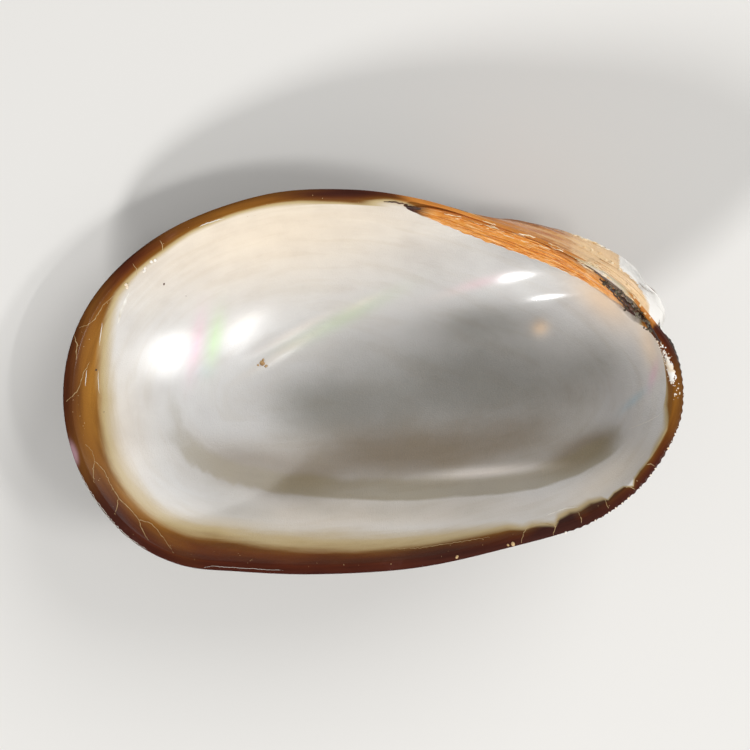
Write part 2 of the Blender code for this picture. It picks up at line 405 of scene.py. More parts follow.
def roughen(tree, shader, height, distance, strength, onto=None):
    """Bumps of a given height in metres under the shader's gloss."""
    node = tree.nodes.new("ShaderNodeBump")
    fill(tree, node, {"Strength": strength, "Distance": distance, "Height": height})
    if onto is not None:
        tree.links.new(onto, node.inputs["Normal"])
    tree.links.new(node.outputs["Normal"], shader.inputs["Normal"])
    return node.outputs["Normal"]


# Inside: pearl, cream towards the lip and grey in the deep, with the brown skin folded over the lip. The grey
# and khaki coats are partly the pearl's own tint and partly painted shade.
pearl, tree, shader = blank_material("pearl_and_horny_lip")
mottle = grain(tree, mark_vector(tree, "around", (0.5, 0.5, 0.8)), 0.55, 4.0, 0.55)
layers = grain(tree, mark_vector(tree, "around", (0.12, 0.12, 1.6)), 1.6, 4.0, 0.55, 0.3)
fine = grain(tree, mark_vector(tree, "around"), 9.0, 3.0, 0.6)


def ragged(tree, name, noise, raggedness, low=0.1, high=0.9):
    """A mark of the mesh, with a ragged soft edge."""
    knocked = math_of(tree, "MULTIPLY", math_of(tree, "SUBTRACT", noise, 0.5), raggedness)
    return step_between(tree, math_of(tree, "ADD", mark(tree, name), knocked), low, high)


def painted(tree, colour, share, tint, strength):
    """A colour under a thin coat of another, as thick as the share times the strength."""
    return over(tree, math_of(tree, "MULTIPLY", share, strength), colour, paint(*tint))


colour = over(tree, mark(tree, "creamy"), paint(220, 219, 217), paint(246, 232, 211))
for name, raggedness, thin, thick, tint, strength in (
    ("grey_and_painted_shade", 0.5, 0.0, 1.0, (148, 146, 140), 1.0),
    ("khaki_and_painted_shade", 0.3, 0.0, 1.0, (126, 110, 86), 0.85),
    ("pallial", 0.8, 0.1, 0.9, (140, 128, 98), 0.6),
):
    share = ragged(tree, name, mottle, raggedness, thin, thick)
    colour = painted(tree, colour, share, tint, strength)
for name, tint, strength in (
    ("pale_streaks_and_highlights", (240, 232, 224), 0.75),
    ("peach_and_painted_light", (252, 224, 192), 0.85),
    ("painted_pink_sheen", (244, 190, 214), 0.55),
    ("painted_green_sheen", (196, 242, 160), 0.55),
    ("painted_blue_sheen", (176, 214, 230), 0.4),
):
    colour = painted(tree, colour, mark(tree, name), tint, strength)
bands = [(0.35, (226, 216, 200)), (0.5, (250, 248, 246)), (0.65, (255, 255, 255))]
colour = over(tree, 0.2, colour, shades(tree, layers, bands), "MULTIPLY")
clouds = [(0.35, (232, 230, 230)), (0.65, (255, 255, 255))]
colour = over(tree, 0.5, colour, shades(tree, mottle, clouds), "MULTIPLY")
wobble = math_of(tree, "MULTIPLY", math_of(tree, "SUBTRACT", layers, 0.5), 0.7)
past = math_of(tree, "ADD", mark(tree, "past_horn"), wobble)
colour = painted(tree, colour, step_between(tree, past, 2.0, 0.2), (190, 166, 112), 0.9)
uneven = math_of(tree, "MULTIPLY", math_of(tree, "SUBTRACT", mottle, 0.5), 0.35)
horn_tints = [(0.0, (66, 22, 8)), (0.35, (86, 34, 10)), (0.65, (110, 56, 14)), (0.9, (126, 80, 24))]
horn_tints += [(1.0, (146, 108, 50))]
brown = shades(tree, math_of(tree, "ADD", mark(tree, "across_horn"), uneven), horn_tints)
brown = painted(tree, brown, mark(tree, "golden"), (172, 118, 40), 0.85)
brown = painted(tree, brown, mark(tree, "purplish"), (62, 28, 20), 0.85)
brown = painted(tree, brown, ragged(tree, "lilac", mottle, 1.0), (176, 140, 150), 0.8)
brown = painted(tree, brown, ragged(tree, "orange", layers, 0.6), (226, 148, 66), 0.9)
rings_of_skin = shades(tree, layers, [(0.35, (180, 160, 140)), (0.6, (255, 255, 255))])
brown = over(tree, 0.5, brown, rings_of_skin, "MULTIPLY")
horny = step_between(tree, past, 0.5, -0.5)
colour = over(tree, horny, colour, brown)
roughness = step_between(tree, fine, 0.3, 0.7, 0.46, 0.56)
coat = step_between(tree, horny, 0.0, 1.0, 0.9, 0.15)
fill(tree, shader, {"Base Color": colour, "Roughness": roughness, "IOR": 1.2})
fill(tree, shader, {"Coat Weight": coat, "Coat Roughness": 0.18})
surface = roughen(tree, shader, mottle, 0.0003, 0.25)
roughen(tree, shader, fine, 0.00004, 0.7, surface)

# Outside: brown horny skin, glossy, with lines of growth, worn to chalky white shell at the beak.
skin, tree, shader = blank_material("horny_skin")
growth = grain(tree, mark_vector(tree, "around", (0.012, 0.012, 1.6)), 2.0, 7.0, 0.62, 0.1)
streaks = grain(tree, mark_vector(tree, "around", (3.0, 3.0, 0.15)), 1.2, 4.0, 0.6)
patches = grain(tree, mark_vector(tree, "around", (0.3, 0.3, 0.3)), 0.8, 4.0, 0.55)
flaking = grain(tree, mark_vector(tree, "around"), 1.6, 5.0, 0.6)
browns = [(0.3, (50, 26, 12)), (0.5, (64, 36, 16)), (0.7, (80, 48, 22))]
colour = shades(tree, growth, browns)
dulled = [(0.35, (190, 200, 170)), (0.65, (255, 245, 235))]
colour = over(tree, 0.6, colour, shades(tree, patches, dulled), "MULTIPLY")
colour = painted(tree, colour, mark(tree, "rested"), (26, 14, 8), 0.7)
colour = painted(tree, colour, ragged(tree, "young", patches, 0.8), (134, 92, 48), 0.7)
tans = [(0.3, (172, 96, 36)), (0.48, (210, 138, 70)), (0.66, (240, 190, 124))]
tanned_share = ragged(tree, "tanned", flaking, 1.0, 0.1, 0.6)
colour = over(tree, tanned_share, colour, shades(tree, patches, tans))
colour = painted(tree, colour, mark(tree, "amber"), (206, 124, 44), 0.7)
# Paler cream on the shoulder towards the beak: partly bleached skin and partly painted light.
bleached_and_lit_share = ragged(tree, "bleached_and_painted_light", flaking, 0.8)
colour = painted(tree, colour, bleached_and_lit_share, (255, 222, 174), 0.8)
streaked = [(0.3, (140, 120, 100)), (0.6, (255, 255, 255))]
colour = over(tree, 0.15, colour, shades(tree, streaks, streaked), "MULTIPLY")
worn = ragged(tree, "eroded", flaking, 1.6, 0.4, 0.6)
colour = over(tree, worn, colour, paint(252, 249, 243))
roughness = step_between(tree, worn, 0.0, 1.0, 0.28, 0.7)
coat = step_between(tree, worn, 0.0, 1.0, 0.6, 0.0)
fill(tree, shader, {"Base Color": colour, "Roughness": roughness})
fill(tree, shader, {"Coat Weight": coat, "Coat Roughness": 0.16})
grown = over(tree, mark(tree, "tanned"), growth, flaking)
surface = roughen(tree, shader, grown, 0.0001, 0.5)
roughen(tree, shader, flaking, 0.00006, 0.6, surface)

valve = make_piece("valve_shell", shell_points, shell_faces, "shell", pearl, skin)
outer_face_count = (len(outer_rings) - 1) * column_count
face_materials = np.zeros(len(shell_faces), int)
face_materials[:outer_face_count] = 1
face_materials[len(quads) : len(quads) + column_count] = 1
valve.data.polygons.foreach_set("material_index", face_materials)
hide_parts("valve")

# Where each point of the shell is, from the margin and round it.
tree_of_margin = KDTree(len(margin_points))
for i, (x, y) in enumerate(margin_points):
    tree_of_margin.insert((x, y, 0), i)
tree_of_margin.balance()


def from_margin(points):
    """The nearest place on the margin to each point, and how far away it is, both seen from above."""
    found = [tree_of_margin.find((x, y, 0)) for x, y, _ in points]
    return margin_run[[hit[1] for hit in found]], np.array([hit[2] for hit in found])


def horn_border(pixels):
    """Where the brown skin ends: distances in from the margin at places along it, and how soft it ends."""
    place, gap = from_margin([in_margin_plane(x, y) for x, y, _ in pixels])
    order = np.argsort(place)
    return place[order], gap[order], np.array([soft for _, _, soft in pixels])[order] * pixel


horn_ends = [
    (656, 345, 3), (662, 360, 3), (667, 382, 3), (667, 405, 3), (666.8, 430, 3), (657.4, 447, 3),
    (650.7, 458, 1.3), (646.7, 463, 1.3), (640, 471, 1.3), (634.6, 479, 1.3), (633.5, 486.5, 1.3),
    (630.6, 486.9, 1.3), (623.9, 487, 1.3), (614.5, 493, 1.3), (608.5, 500, 1.3), (603.8, 499.6, 3),
    (590.4, 503.7, 4), (581, 510, 4), (577, 511.7, 4), (570.4, 513, 4), (559.6, 519, 4), (555.6, 526, 4),
    (543.6, 525.8, 4), (532.9, 526.4, 4), (525, 530, 4), (508.7, 529, 5), (490, 533, 6), (460, 539, 8),
    (400, 547, 10), (330, 549, 13), (260, 545, 13), (215, 537, 12), (180, 531, 12), (150, 516, 12),
    (128, 494, 12), (112, 468, 12), (103, 440, 11), (100, 400, 11), (99, 360, 10), (102, 333, 9),
    (114, 295, 5), (137, 270, 3), (163, 250, 3), (191, 231, 2.5), (231, 214.4, 2.5), (262, 206, 2.5),
    (300, 201, 3), (330, 202, 3), (370, 205, 3), (405, 210, 3), (424, 219, 3), (456, 231, 3),
    (495, 242, 3), (533, 251, 3), (571, 264, 3), (600, 276, 3), (619, 293, 3), (629, 307, 3),
    (644, 330, 3),
]
border_place, border_gap, border_soft = horn_border(horn_ends)
every_seen = seen_at(shell_points)
place, gap = from_margin(shell_points)
border = np.interp(place, border_place, border_gap, period=margin_length)
softness = np.interp(place, border_place, border_soft, period=margin_length)


def on_points(of_columns):
    """A number of each column, at all the shell's points, with 0 at its two closing points."""
    return np.append(np.tile(of_columns, row_count), [0, 0])


ring_of_row = np.concatenate([outer_rings[::-1], np.ones(len(lip_rows)), inner_rings])
ring_of_point = np.append(np.repeat(ring_of_row, column_count), [0, 0])
depth = -shell_points[:, 2]
place_of_point = on_points(places)
bearing = 2 * math.pi * place_of_point / margin_length
is_outside = np.arange(len(shell_points)) < len(outer_rings) * column_count
around_outside = np.column_stack([20 * np.cos(bearing), 20 * np.sin(bearing), 30 * ring_of_point])
around_inside = np.column_stack([shell_points[:, :2], 8 * (1 - np.exp(-gap / 8))])

# The skin's border follows the lip. Deep in, and on the ledge, the shell is pearl though the margin is near.
by_hinge = on_points(np.clip(smooth((36 - back) / 8) + smooth((6 - places) / 4), 0, 1))
gap += 3 * by_hinge * np.maximum(0, depth - 0.6)
gap += 0.6 * on_points(smooth(back / 2) * smooth((27 - back) / 4))
gap += 4 * smooth((0.86 - ring_of_point) / 0.08) * np.maximum(0, depth - 1.0)
to_front = np.where(place_of_point < 60, smooth(place_of_point / 2.5), 0)
off_front = 1 - to_front * (1 - smooth((0.75 - ring_of_point) / 0.2) * smooth((9 - place_of_point) / 5))
hinge_line = [(400, 204), (430, 210), (460, 216), (495, 228), (533, 240), (571, 256), (600, 270), (625, 290)]
hinge_line += [(643, 312)]
shoulder = [(470, 215), (520, 227), (560, 241), (600, 257), (630, 281), (648, 305), (656, 322)]
worn_line = [(632, 262), (643, 271), (655, 288), (662, 304), (661, 318)]
to_hinge, to_shoulder = from_line(every_seen, hinge_line), from_line(every_seen, shoulder)
to_pallial, to_worn = from_line(every_seen, pallial_line), from_line(every_seen, worn_line)
scar_x, scar_y = np.array(pallial_line).T
seen_x, seen_y = every_seen.T
beyond_pallial = seen_y > np.interp(seen_x, scar_x, scar_y)
pallial = np.where(beyond_pallial, smooth(2.2 - to_pallial / 5), smooth(1.3 - to_pallial / 16))
rest_lines = []
for rest, height in growth_rests:
    rest_lines.append(np.exp(-(((ring_of_point - rest) / 0.006) ** 2)) * min(1, height / 0.1))


def ovals(*rows):
    """The sum of some ovals of the photograph, each given by its strength, middle, half widths and turn."""
    return sum(strength * oval(every_seen, *row) for strength, *row in rows)


marks = {
    "past_horn": (gap - border) / softness,
    "across_horn": gap / border,
    # Painted shade with the pearl's own grey: darker in the middle and on the right of the hollow.
    "grey_and_painted_shade": ovals(
        (0.88, 480, 388, 205, 104), (0.42, 480, 318, 95, 30, -6), (0.2, 600, 366, 70, 40),
        (0.36, 390, 512, 290, 22), (0.42, 205, 488, 90, 36, 25), (0.7, 330, 410, 110, 60, 8),
        (0.15, 350, 345, 70, 40, -20), (0.13, 265, 300, 90, 50, -20), (-0.3, 645, 395, 24, 55),
        (-0.5, 540, 275, 130, 34, 20),
    ),
    "creamy": ovals(
        (1.0, 270, 228, 300, 100, -10), (0.6, 110, 450, 60, 140), (0.5, 350, 514, 280, 26, -1),
        (0.5, 610, 478, 80, 24, -36),
    ),
    # Painted shade with the pearl's own khaki: darker in the low part of the hollow.
    "khaki_and_painted_shade": ovals(
        (0.95, 405, 455, 245, 56, -2), (0.3, 530, 425, 100, 34, -8), (0.24, 575, 390, 75, 30, -5),
        (0.75, 588, 450, 60, 24, -35), (0.82, 255, 472, 120, 38, 16), (0.2, 470, 502, 120, 20, -4),
        (0.18, 562, 458, 60, 26, -15),
    ),
    "pallial": pallial * smooth((seen_x - 150) / 60) * smooth((650 - seen_x) / 60),
    # Painted highlights on the two folds and on other ridges of the pearl, over its own pale streaks.
    "pale_streaks_and_highlights": ovals(
        (1.1, 485, 472, 85, 8, -5), (1.1, 296, 331, 60, 6, -28), (1.0, 288, 349, 60, 6, -31),
        (1.0, 362, 303, 28, 6, -26), (0.6, 470, 286, 60, 8, -18),
    ),
    # A peach tint and painted light: the blister's own tint, and pearl made lighter under the hinge and on
    # the front wall.
    "peach_and_painted_light": ovals((1.0, 540, 328, 13, 12), (1.0, 602, 298, 62, 28, 40), (0.7, 650, 345, 16, 44, -15)),
    # Painted sheen: the pearl's pink, green and blue play of colour, fixed to the surface by the gleams.
    "painted_pink_sheen": ovals((1.0, 196, 345, 10, 46, 10), (0.8, 653, 376, 6, 22, 15), (0.5, 480, 283, 40, 8, -15)),
    "painted_green_sheen": ovals((1.0, 215, 340, 11, 38, 10), (0.4, 340, 320, 90, 12, -27)),
    "painted_blue_sheen": ovals((1.0, 634, 400, 26, 6, -42), (0.4, 205, 372, 14, 10)),
    "golden": ovals(
        (1.0, 94, 385, 26, 130, 3), (1.0, 140, 505, 16, 70, -45), (0.5, 230, 210, 150, 20, -18),
        (0.6, 676, 400, 14, 60, 5),
    ),
    "purplish": ovals(
        (1.0, 590, 505, 110, 30, -32), (1.0, 450, 553, 130, 14, -6), (1.0, 556, 529, 50, 14, -20),
        (-0.7, 582, 515, 16, 9, -30), (1.0, 105, 520, 26, 90, -42), (1.0, 340, 194, 80, 7),
    ),
    "orange": smooth(2.5 - to_hinge / 9) * smooth((seen_x - 375) / 60),
    "lilac": ovals((1.0, 73, 453, 8, 22, -18)),
    "rested": sum(rest_lines),
    "young": smooth((0.45 - ring_of_point) / 0.4),
    "tanned": smooth(2.2 - to_shoulder / 14)
    * (ring_of_point < 0.97)
    * smooth((seen_x - 420) / 110)
    * smooth((5.5 - depth) / 4)
    * (1 - to_front),
    # Partly bleached skin and partly painted light, on the shoulder towards the beak.
    "bleached_and_painted_light": smooth(2.2 - to_shoulder / 14) * smooth((seen_x - 535) / 70) * (1 - to_front),
    "amber": ovals((1.0, 512, 224, 50, 12, 14)),
    "eroded": 1.2 * smooth(1.7 - to_worn / 10) * off_front + ovals((0.3, 600, 245, 50, 10, 24)),
}


def carry(piece, name, values):
    """Stores a number or a vector at each point of a mesh, for its material."""
    values = np.asarray(values, float)
    kind, field = ("FLOAT", "value") if values.ndim == 1 else ("FLOAT_VECTOR", "vector")
    piece.data.attributes.new(name, kind, "POINT").data.foreach_set(field, values.ravel())


for name, values in marks.items():
    carry(valve, name, values)
carry(valve, "around", np.where(is_outside[:, None], around_outside, around_inside))

# Cracks, threads and painted glints
# Where the horny skin dried it cracked and lifted, and a few pale threads lie on the pearl. Some of the pale
# lines are painted glints, on the lip at the left and along the low outer edge. Each is a thin tapered tube,
# half sunk into what it lies on.
shell_surface = BVHTree.FromPolygons(shell_points.tolist(), shell_faces)


def on_shell(x, y):
    """The shell's point that shows in a pixel of the photograph, or just inside, and its normal upwards."""
    target = np.array(in_margin_plane(x, y))
    point = None
    while point is None:
        point, normal, _, _ = shell_surface.ray_cast(Vector(eye), Vector(target - eye).normalized())
        target *= 0.995
    return np.array(point), np.array(normal if normal.z > 0 else -normal)


def on_crest(x, y):
    """The like, moved towards the hinge until it is at most a millimetre below the margin."""
    lowest, step = -1.0, 0.7
    point, normal = on_shell(x, y)
    while point[2] < lowest:
        x, y = x + step, y - step
        point, normal = on_shell(x, y)
    return point, normal


def wall_faces(ring_count, sides):
    """The faces between rings of points that follow one another."""
    faces = []
    for i in range(ring_count - 1):
        for j in range(sides):
            k = (j + 1) % sides
            faces.append((i * sides + j, i * sides + k, (i + 1) * sides + k, (i + 1) * sides + j))
    return faces


def tube(path, radii, sides=6):
    """Points and faces of a tube along a path, with a radius at each point, closed at its ends."""
    path, radii = np.asarray(path), np.asarray(radii)
    way = np.gradient(path, axis=0)
    way /= np.linalg.norm(way, axis=1)[:, None]
    side = np.cross(way, (0, 0, 1))
    side /= np.linalg.norm(side, axis=1)[:, None]
    up = np.cross(side, way)
    angle = 2 * math.pi * np.arange(sides) / sides
    ring = side[:, None] * np.cos(angle)[None, :, None] + up[:, None] * np.sin(angle)[None, :, None]
    points = path[:, None] + ring * radii[:, None, None]
    faces = wall_faces(len(path), sides)
    faces.append(tuple(range(sides)))
    faces.append(tuple(range(len(path) * sides - sides, len(path) * sides)))
    return points.reshape(-1, 3), faces


def together(shapes):
    """Several points and faces as one."""
    points, faces, count = [], [], 0
    for more_points, more_faces in shapes:
        points.append(more_points)
        faces += [tuple(corner + count for corner in face) for face in more_faces]
        count += len(more_points)
    return np.concatenate(points), faces


def line_on_shell(pixels, radius, sunk=0.4, wander=0.0, seed=1, found=on_shell):
    """A tapered tube on the shell, through pixels of the photograph."""
    chance = random.Random(seed)
    run = run_along(pixels)
    count = max(4, int(run[-1] / 2))
    path, radii = [], []
    for i in range(count + 1):
        share = i / count
        here = share * run[-1]
        x, y = (np.interp(here, run, line) + chance.uniform(-wander, wander) for line in zip(*pixels))
        point, normal = found(x, y)
        path.append(point - normal * radius * sunk)
        radii.append(radius * (0.25 + 0.75 * math.sin(math.pi * min(max(share, 0.06), 0.94)) ** 0.5))
    return tube(path, radii)


crack_lines = [
    [
        (85, 444), (92, 451), (94.5, 461), (103, 469), (111, 485), (119, 499), (129, 508), (139, 520),
        (148, 522), (154, 526), (165, 540), (174, 553),
    ],
    [(94.5, 461), (93, 470), (94, 483)],
    [(118, 499), (117, 507), (115, 514)],
    [(139, 520), (142, 530), (148, 540)],
    [(90, 362), (84, 372), (78, 390), (66, 402)],
    [(74, 335), (77, 345), (76, 360)],
    [(115, 295), (110, 299), (103, 305), (98, 314), (94, 320), (87, 325), (79, 328)],
    [(160, 241), (163, 246), (163, 251)],
    [(133, 263), (136, 269), (137, 275)],
    [(521.5, 543), (523, 535), (526, 529), (533, 526), (540, 525.5)],
    [(539.6, 523), (549, 523.7), (555.6, 526.4), (553, 535)],
    [(559.6, 517), (557, 522), (555.6, 527.8)],
    [(577.7, 511.7), (581, 517), (581.7, 523)],
    [(605.2, 499.6), (606.5, 503.7), (608.5, 508.5)],
    [(624, 487), (630.6, 486.9), (635.3, 489.2)],
    [(646, 465), (650.7, 464.2), (654.7, 465.9)],
    [(385, 549), (420, 548), (460, 542), (490, 537)],
]


def grainy_material(name, stops, roughness, scale, detail=3.0, unevenness=0.5, bumps=None):
    """A material of uneven colour, and with bumps where their height and strength are given."""
    material, tree, shader = blank_material(name)
    where = tree.nodes.new("ShaderNodeTexCoord").outputs["Object"]
    noise = grain(tree, where, scale, detail, unevenness)
    fill(tree, shader, {"Base Color": shades(tree, noise, stops), "Roughness": roughness})
    if bumps is not None:
        roughen(tree, shader, noise, *bumps)
    return material


crack_tints = [(0.3, (150, 112, 62)), (0.7, (206, 180, 130))]
crack_material = grainy_material("dried_crack", crack_tints, 0.35, 3000.0, bumps=(0.00003, 0.6))
crack_radius = 0.035
shapes = [line_on_shell(line, crack_radius, wander=0.5, seed=i) for i, line in enumerate(crack_lines)]
make_piece("lip_cracks", *together(shapes), "shell", crack_material)

thread_and_glint_lines = [
    ([(620, 433), (633, 427), (649, 421), (659, 415), (668, 404)], 0.035),
    ([(538, 518), (550, 514), (565, 508), (577, 507), (586, 502)], 0.10),
    ([(605, 489), (611, 483.6), (616, 477)], 0.03),
    ([(625, 471), (637, 461), (646.7, 451.4), (652.7, 447.4), (655.4, 451.4)], 0.035),
    # Painted glints: streaks on the lip at the left, then bright lines along the low outer edge.
    ([(132, 287), (127, 297), (121, 312), (116, 330)], 0.30),
    ([(103, 318), (101, 332), (99, 350)], 0.07),
    ([(87, 366), (86, 378), (85, 390)], 0.07),
    ([(98, 366), (98, 380), (100, 398)], 0.06),
    ([(69, 438), (79, 470), (98, 508), (126, 540), (160, 557), (182, 563)], 0.03),
    ([(180, 564), (202, 568), (212, 566), (239, 568), (275, 570), (306, 573)], 0.02),
    ([(193, 229.5), (205, 224), (218, 220), (231, 217)], 0.10),
]
thread_and_glint_tints = [(0.3, (214, 206, 192)), (0.7, (240, 236, 228))]
thread_and_glint_material = grainy_material("pale_thread_and_glint", thread_and_glint_tints, 0.3, 1500.0, 2.0)
shapes = [line_on_shell(line, radius, 0.72, 0.35, 50 + i) for i, (line, radius) in enumerate(thread_and_glint_lines)]
make_piece("pale_threads_and_glints", *together(shapes), "shell", thread_and_glint_material)

# The ligament
# An elastic strip that opened the two valves, of tough horny fibres, orange where it is fresh and torn along
# its edges where the other valve was pulled off. It sits in the ledge under the hinge.
def along_hinge(far_back, inset, height):
    """A point of the margin's frame, so far back from the beak, in from the margin and up."""
    place = np.array([margin_length - far_back])
    return np.append(margin_at(place)[0] + inward_at(place)[0] * inset, height)


ligament_material, tree, shader = blank_material("torn_ligament")
strand = grain(tree, mark_vector(tree, "along", (0.35, 5.0, 5.0)), 1.6, 5.0, 0.65, 0.2)
blotch = grain(tree, mark_vector(tree, "along", (0.5, 1.0, 1.0)), 0.9, 3.0)
oranges = [(0.25, (176, 90, 22)), (0.4, (224, 134, 40)), (0.52, (240, 164, 72)), (0.68, (254, 214, 160))]
colour = shades(tree, strand, oranges)
colour = over(tree, step_between(tree, blotch, 0.58, 0.75, 0.0, 0.5), colour, paint(176, 84, 26))
# Paler towards the beak: partly the strip's own tint and partly a painted pinkish highlight.
colour = painted(tree, colour, mark(tree, "paler_and_painted_light"), (250, 204, 156), 0.5)
colour = over(tree, mark(tree, "darkened"), colour, paint(70, 30, 18))
fill(tree, shader, {"Base Color": colour, "Roughness": 0.42, "IOR": 1.35})
fill(tree, shader, {"Coat Weight": 0.12, "Coat Roughness": 0.25})
roughen(tree, shader, strand, 0.00012, 0.8)

strip_start, strip_end, strip_inset = 1.4, 22.0, 0.89
strip_half_width, strip_half_height = 0.72, 0.34
widest, ledge_depth, lip_height = 0.62, 0.86, 0.20


def strip_fullness(far_back):
    """How full the strip is, from 0 at its ends to 1 at its widest."""
    share = (far_back - strip_start) / (strip_end - strip_start)
    rise = min(max(min(share / widest, (1 - share) / (1 - widest)), 0.0), 1.0)
    return math.sin(math.pi / 2 * rise) ** 0.6


def strip_middle(far_back):
    """The height of the strip's middle, which lies on the ledge."""
    ledge_here = float(ledge_share(np.array(far_back)))
    return lip_height - ledge_depth * ledge_here + strip_half_height * strip_fullness(far_back)


chance = random.Random(11)
draw = chance.uniform
strip_rings, strip_along = [], []
stations, sides = 160, 28
for i in range(1, stations):
    far_back = strip_start + (strip_end - strip_start) * i / stations
    fullness, middle = strip_fullness(far_back), strip_middle(far_back)
    for j in range(sides):
        angle = 2 * math.pi * j / sides
        groove = 0.04 * math.sin(9 * angle + 0.7 * math.sin(far_back * 0.9))
        groove += 0.02 * math.sin(17 * angle + far_back)
        across, upward = (math.copysign(abs(t) ** 0.65, t) for t in (math.cos(angle), math.sin(angle)))
        out = (strip_half_width + groove) * fullness * across
        fray = 0.06 * math.sin(far_back * 5.1) * math.sin(far_back * 1.7 + 1)
        frayed = fray if math.cos(angle) > 0.6 else 0.0
        up = (strip_half_height + groove) * fullness * upward
        strip_rings.append(along_hinge(far_back, strip_inset + out + frayed * fullness, middle + up))
        strip_along.append((far_back, math.cos(angle), math.sin(angle) * 0.5))
for far_back in (strip_start, strip_end):
    strip_rings.append(along_hinge(far_back, strip_inset, strip_middle(far_back)))
    strip_along.append((far_back, 0.0, 0.0))
strip_faces = wall_faces(stations - 1, sides)
first_end, last_end, last_ring = (stations - 1) * sides, (stations - 1) * sides + 1, (stations - 2) * sides
strip_faces += [(first_end, (j + 1) % sides, j) for j in range(sides)]
strip_faces += [(last_end, last_ring + j, last_ring + (j + 1) % sides) for j in range(sides)]
ligament = make_piece("ligament_strip", strip_rings, strip_faces, "ligament", ligament_material)
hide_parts("ligament")
strip_along = np.array(strip_along)
far = strip_along[:, 0]
carry(ligament, "along", strip_along)
carry(ligament, "darkened", smooth((far - 19.5) / 2) + smooth((3.6 - far) / 1.5))
carry(ligament, "paler_and_painted_light", smooth((12.5 - far) / 5))

fibre_shapes, fibre_along, fibre_dark = [], [], []
fibre_count, fibre_steps, fibre_sides = 34, 30, 6
for i in range(fibre_count):
    start = draw(3.0, 13.0)
    end = min(21.4, start + draw(4.0, 9.0))
    across = draw(-0.9, 0.9)
    drift = draw(-0.25, 0.25)
    lift = draw(0.0, 0.05)
    phase = draw(0, 6)
    thick = draw(0.03, 0.065)
    path, radii = [], []
    for step in range(fibre_steps + 1):
        share = step / fibre_steps
        far_back = start + (end - start) * share
        fullness = strip_fullness(far_back)
        here = min(max(across + drift * share + 0.05 * math.sin(far_back * 2.2 + phase), -0.97), 0.97)
        top = strip_half_height * fullness * (1 - abs(here) ** 3) ** (1 / 3)
        height = strip_middle(far_back) + top + lift * math.sin(math.pi * share)
        path.append(along_hinge(far_back, strip_inset + strip_half_width * fullness * here, height))
        radii.append(thick * (0.2 + 0.8 * math.sin(math.pi * min(max(share, 0.03), 0.97)) ** 0.6))
    points, faces = tube(path, radii, fibre_sides)
    fibre_shapes.append((points, faces))
    for n in range(len(points)):
        run = (end - start) * (n // fibre_sides) / fibre_steps
        fibre_along.append((start + run + 3 * i, across, 0.0))
        fibre_dark.append(smooth((3.6 - start - run) / 1.5))
fibres = make_piece("ligament_fibres", *together(fibre_shapes), "ligament", ligament_material)
carry(fibres, "along", fibre_along)
carry(fibres, "darkened", fibre_dark)

# Dirt in the crevice
# Dried mud and sand grains caught in the crevice between the ligament and the beak. They are small lumps that
# stick where they lie, on the lip or on the strip.
def on_hinge(x, y):
    """The point of the shell or the strip that shows in a pixel of the photograph, and its normal upwards."""
    point, normal = on_crest(x, y)
    flat = in_margin_plane(x, y)
    place, inset = from_margin([flat])
    far_back = margin_length - place[0]
    top = strip_middle(far_back) + strip_half_height * strip_fullness(far_back)
    strip_reach = 1.4
    if far_back < strip_end and inset[0] < strip_reach and point[2] < top:
        return np.array((flat[0], flat[1], top)), np.array((0.0, 0.0, 1.0))
    return point, normal


def lump(middle, size, seed, flatten=0.6):
    """Points and faces of a small uneven grain."""
    knock_count = 9
    shape = bmesh.new()
    bmesh.ops.create_icosphere(shape, subdivisions=2, radius=1.0)
    luck = random.Random(seed)
    knocks = []
    for _ in range(knock_count):
        way = Vector([luck.uniform(-1, 1) for _ in range(3)]).normalized()
        knocks.append((way, luck.uniform(0.1, 0.45)))
    points = []
    for vert in shape.verts:
        scale = 1.0
        for way, dent in knocks:
            scale -= dent * max(0.0, vert.co.normalized().dot(way) - 0.75) * 2
        points.append(np.array(vert.co) * scale * (1, 0.75, flatten) * size)
    faces = [tuple(v.index for v in face.verts) for face in shape.faces]
    turn = np.array(Matrix.Rotation(luck.uniform(0, 6.28), 3, "Z"))
    shape.free()
    return np.array(points) @ turn.T + middle, faces


def lumps_at(places, seed):
    """Grains on the shell, where each shows in the photograph and of a size in millimetres."""
    return [lump(on_shell(x, y)[0], size, seed + i) for i, (x, y, size) in enumerate(places)]


dirt_tints = [(0.3, (46, 34, 24)), (0.5, (96, 84, 62)), (0.7, (150, 146, 124))]
dirt_material = grainy_material("crevice_dirt", dirt_tints, 0.75, 900.0, 4.0, 0.6, (0.0001, 0.8))
crevice = [(602, 280), (612, 288), (622, 297), (631, 306), (640, 313), (646, 323), (650, 332)]
crevice_run = run_along(crevice)
dirt, grain_count = [], 90
for i in range(grain_count):
    along = draw(0, crevice_run[-1])
    x, y = (np.interp(along, crevice_run, line) + chance.gauss(0, 1.7) for line in zip(*crevice))
    point, normal = on_hinge(x, y)
    dirt.append(lump(point + normal * 0.04, draw(0.05, 0.15), i))
make_piece("crevice_dirt", *together(dirt), "shell", dirt_material)

